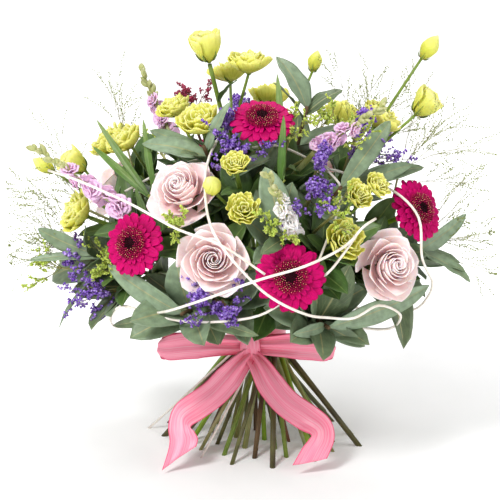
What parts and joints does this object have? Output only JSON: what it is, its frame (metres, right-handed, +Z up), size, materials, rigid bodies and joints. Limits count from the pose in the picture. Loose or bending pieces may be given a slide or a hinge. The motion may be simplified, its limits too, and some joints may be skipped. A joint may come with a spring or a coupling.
{
  "type": "hand-tied flower bouquet",
  "caption": "Hand-tied spiral bouquet of roses, gerberas, lisianthus, stock and fillers on splayed cut stems, bound with a satin ribbon bow and laced with pale canes.",
  "frame": {"origin": "middle of the bouquet's box, on the surface that its cut stems stand on", "axes": "+Z up along the bundle, -Y the front that the ribbon bow faces, +X to the right as seen from the front"},
  "size_m": [0.4639, 0.4095, 0.4023],
  "materials": {
    "rose_petal": "soft matt pink petals, paler at the rim",
    "gerbera_petal": "matt magenta rays about a dark disc",
    "lisianthus_petal": "matt yellow-green ruffled petals on a green stem",
    "stock_petal": "matt lilac-pink florets on a green stem",
    "sea_lavender_floret": "papery violet florets on green twigs",
    "penny_cress_pod": "flat yellow-green pods on green twigs",
    "fountain_grass_seed": "fine dry seed heads on hair-thin stalks",
    "astilbe_floret": "crimson plume on a green stem",
    "eucalyptus_leaf": "waxy grey-green leaves with a pale midrib",
    "grass_leaf": "smooth green blades",
    "green_stem": "smooth fresh stems, cut at the foot",
    "peeled_cane": "bleached peeled willow",
    "satin_ribbon": "satin, glossy along its length, with woven edges",
    "jute_twine": "rough jute"
  },
  "bodies": {
    "root": {"astilbe": "astilbe_floret", "cane_1": "peeled_cane", "cane_2": "peeled_cane", "cane_3": "peeled_cane", "eucalyptus_1": "eucalyptus_leaf", "eucalyptus_2": "eucalyptus_leaf", "eucalyptus_3": "eucalyptus_leaf", "eucalyptus_4": "eucalyptus_leaf", "eucalyptus_5": "eucalyptus_leaf", "eucalyptus_6": "eucalyptus_leaf", "eucalyptus_7": "eucalyptus_leaf", "eucalyptus_8": "eucalyptus_leaf", "fountain_grass_1": "fountain_grass_seed", "fountain_grass_2": "fountain_grass_seed", "gerbera_1": "gerbera_petal", "gerbera_1_stem": "green_stem", "gerbera_2": "gerbera_petal", "gerbera_2_stem": "green_stem", "gerbera_3": "gerbera_petal", "gerbera_3_stem": "green_stem", "gerbera_4": "gerbera_petal", "gerbera_4_stem": "green_stem", "gerbera_5": "gerbera_petal", "gerbera_5_stem": "green_stem", "grass_blades": "grass_leaf", "lisianthus_1": "lisianthus_petal", "lisianthus_2": "lisianthus_petal", "lisianthus_3": "lisianthus_petal", "lisianthus_4": "lisianthus_petal", "lisianthus_5": "lisianthus_petal", "lisianthus_6": "lisianthus_petal", "lisianthus_7": "lisianthus_petal", "lisianthus_8": "lisianthus_petal", "penny_cress_1": "penny_cress_pod", "penny_cress_2": "penny_cress_pod", "penny_cress_3": "penny_cress_pod", "penny_cress_4": "penny_cress_pod", "penny_cress_5": "penny_cress_pod", "ribbon_bow": "satin_ribbon", "rose_1": "rose_petal", "rose_1_stem": "green_stem", "rose_2": "rose_petal", "rose_2_stem": "green_stem", "rose_3": "rose_petal", "rose_3_stem": "green_stem", "rose_4": "rose_petal", "rose_4_stem": "green_stem", "rose_5": "rose_petal", "rose_5_stem": "green_stem", "sea_lavender_1": "sea_lavender_floret", "sea_lavender_2": "sea_lavender_floret", "sea_lavender_3": "sea_lavender_floret", "sea_lavender_4": "sea_lavender_floret", "sea_lavender_5": "sea_lavender_floret", "sea_lavender_6": "sea_lavender_floret", "stock_1": "stock_petal", "stock_2": "stock_petal", "stock_3": "stock_petal", "stock_4": "stock_petal", "twine": "jute_twine"}
  },
  "joints": []
}
